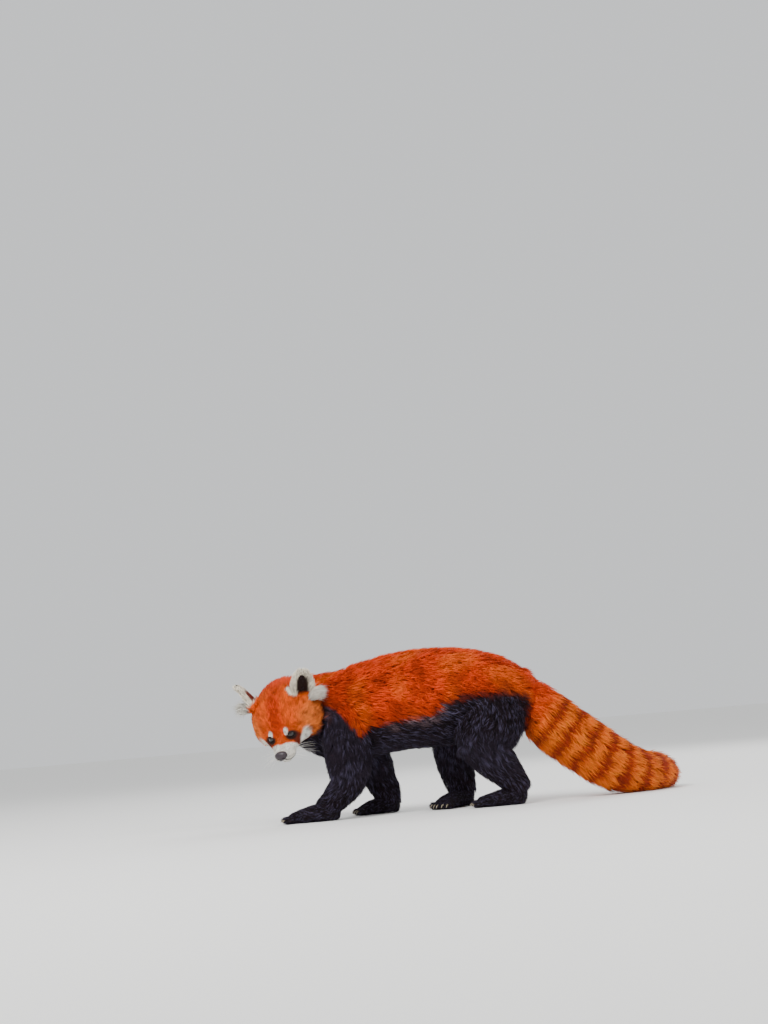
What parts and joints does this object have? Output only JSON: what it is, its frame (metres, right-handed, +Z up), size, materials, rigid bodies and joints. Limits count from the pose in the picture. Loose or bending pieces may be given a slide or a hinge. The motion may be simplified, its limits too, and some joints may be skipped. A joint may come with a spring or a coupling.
{
  "type": "red panda figure",
  "caption": "Life-size red panda walking with its head lowered and turned to its left, on four small flats, its tail laid on the floor.",
  "frame": {"origin": "on the floor, below the middle of the whole animal's box", "axes": "+Z up, +X from the head to the tail, and the animal's left side is towards -Y"},
  "size_m": [0.833, 0.274, 0.3015],
  "materials": {
    "red_fur": "dense plush coat, rust red",
    "dark_fur": "dense plush coat, near black",
    "cream_fur": "short plush coat, cream white",
    "face_fur": "short plush coat, orange",
    "nose_skin": "moist bare skin",
    "eye_gloss": "polished, wet look"
  },
  "bodies": {
    "root": {"head": "face_fur", "jaw": "cream_fur", "nose": "nose_skin", "eye_left": "eye_gloss", "eye_right": "eye_gloss", "ear_left": "cream_fur", "ear_right": "cream_fur", "neck": "dark_fur", "torso": "red_fur", "tail_root": "red_fur", "tail_middle": "red_fur", "tail_end": "red_fur", "tail_tip": "red_fur", "fore_left_upper": "dark_fur", "fore_left_lower": "dark_fur", "fore_left_paw": "dark_fur", "fore_right_upper": "dark_fur", "fore_right_lower": "dark_fur", "fore_right_paw": "dark_fur", "hind_left_upper": "dark_fur", "hind_left_lower": "dark_fur", "hind_left_paw": "dark_fur", "hind_right_upper": "dark_fur", "hind_right_lower": "dark_fur", "hind_right_paw": "dark_fur"}
  },
  "joints": []
}
